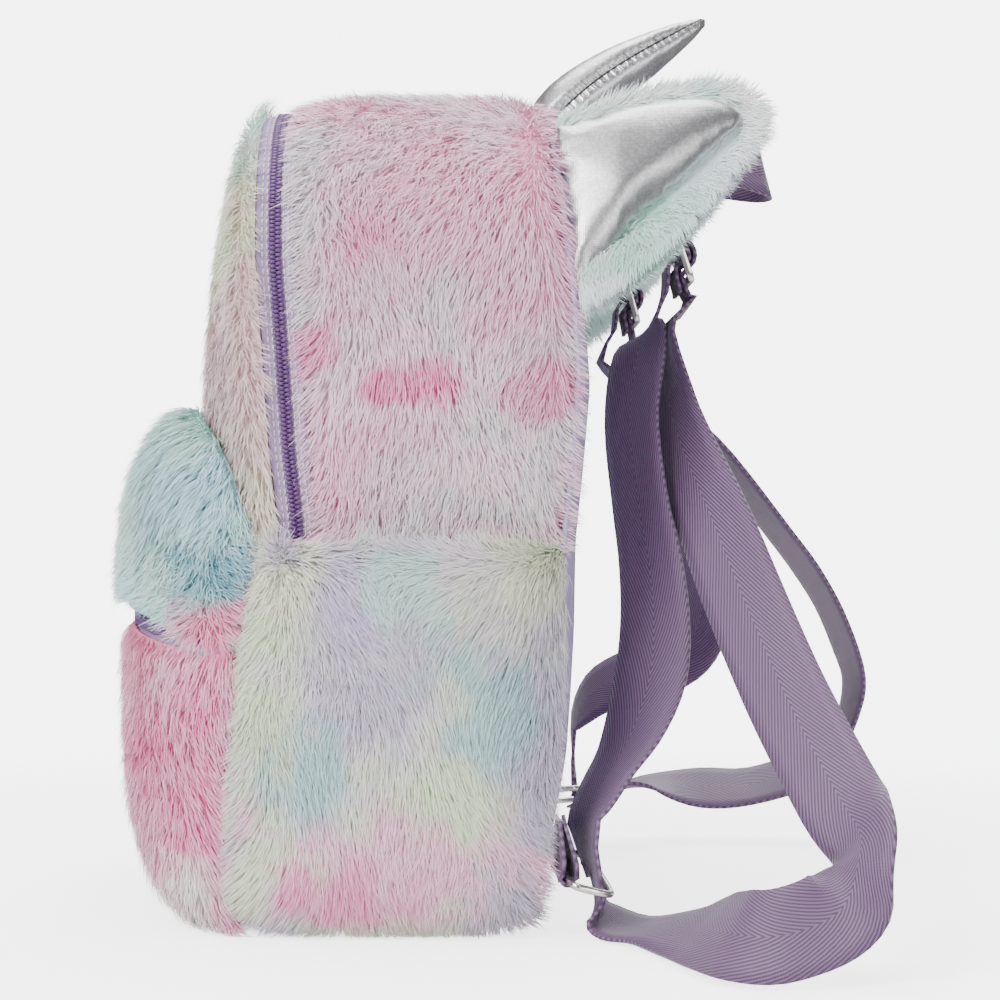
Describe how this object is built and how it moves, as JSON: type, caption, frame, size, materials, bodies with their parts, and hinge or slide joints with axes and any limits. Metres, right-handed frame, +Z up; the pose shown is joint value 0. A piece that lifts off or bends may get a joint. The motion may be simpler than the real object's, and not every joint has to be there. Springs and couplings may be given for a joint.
{
  "type": "kids animal backpack",
  "caption": "Small plush backpack with padded ears and a horn, a bulging front pocket, side pockets, a haul loop and adjustable webbing straps.",
  "frame": {"origin": "centre of the flat base, on the floor", "axes": "+Z up, -Y to the front panel, +Y to the wearer, +X to the wearer's right"},
  "size_m": [0.3379, 0.3164, 0.3516],
  "materials": {
    "plush": "tie-dyed plush, long pile",
    "front_plush": "tie-dyed plush, long pile",
    "pocket_plush": "pink plush, long pile",
    "hood_plush": "ice-blue plush, long pile",
    "side_plush": "tie-dyed plush, long pile",
    "ear_plush": "white and mint plush",
    "silver_cloth": "metallic coated cloth",
    "webbing": "herringbone webbing, matt",
    "twill": "twill cloth, matt",
    "zip": "coil zip on woven tape",
    "nickel": "nickel plate, polished"
  },
  "bodies": {
    "root": {"gusset": "plush", "zip_tape_rear": "zip", "zip_tape_front": "zip", "zip_slider_main": "nickel", "front_panel": "front_plush", "back_panel": "twill", "pocket_front": "pocket_plush", "snout": "hood_plush", "pocket_zip": "zip", "zip_slider_pocket": "nickel", "side_pocket_right": "side_plush", "side_pocket_left": "side_plush", "ear_right_face": "silver_cloth", "ear_right_back": "ear_plush", "ear_left_face": "silver_cloth", "ear_left_back": "ear_plush", "horn": "silver_cloth", "haul_loop": "webbing", "strap_right": "webbing", "strap_left": "webbing", "slider_right": "nickel", "slider_left": "nickel", "ring_right": "nickel", "ring_left": "nickel", "tab_right": "webbing", "tab_left": "webbing"}
  },
  "joints": []
}
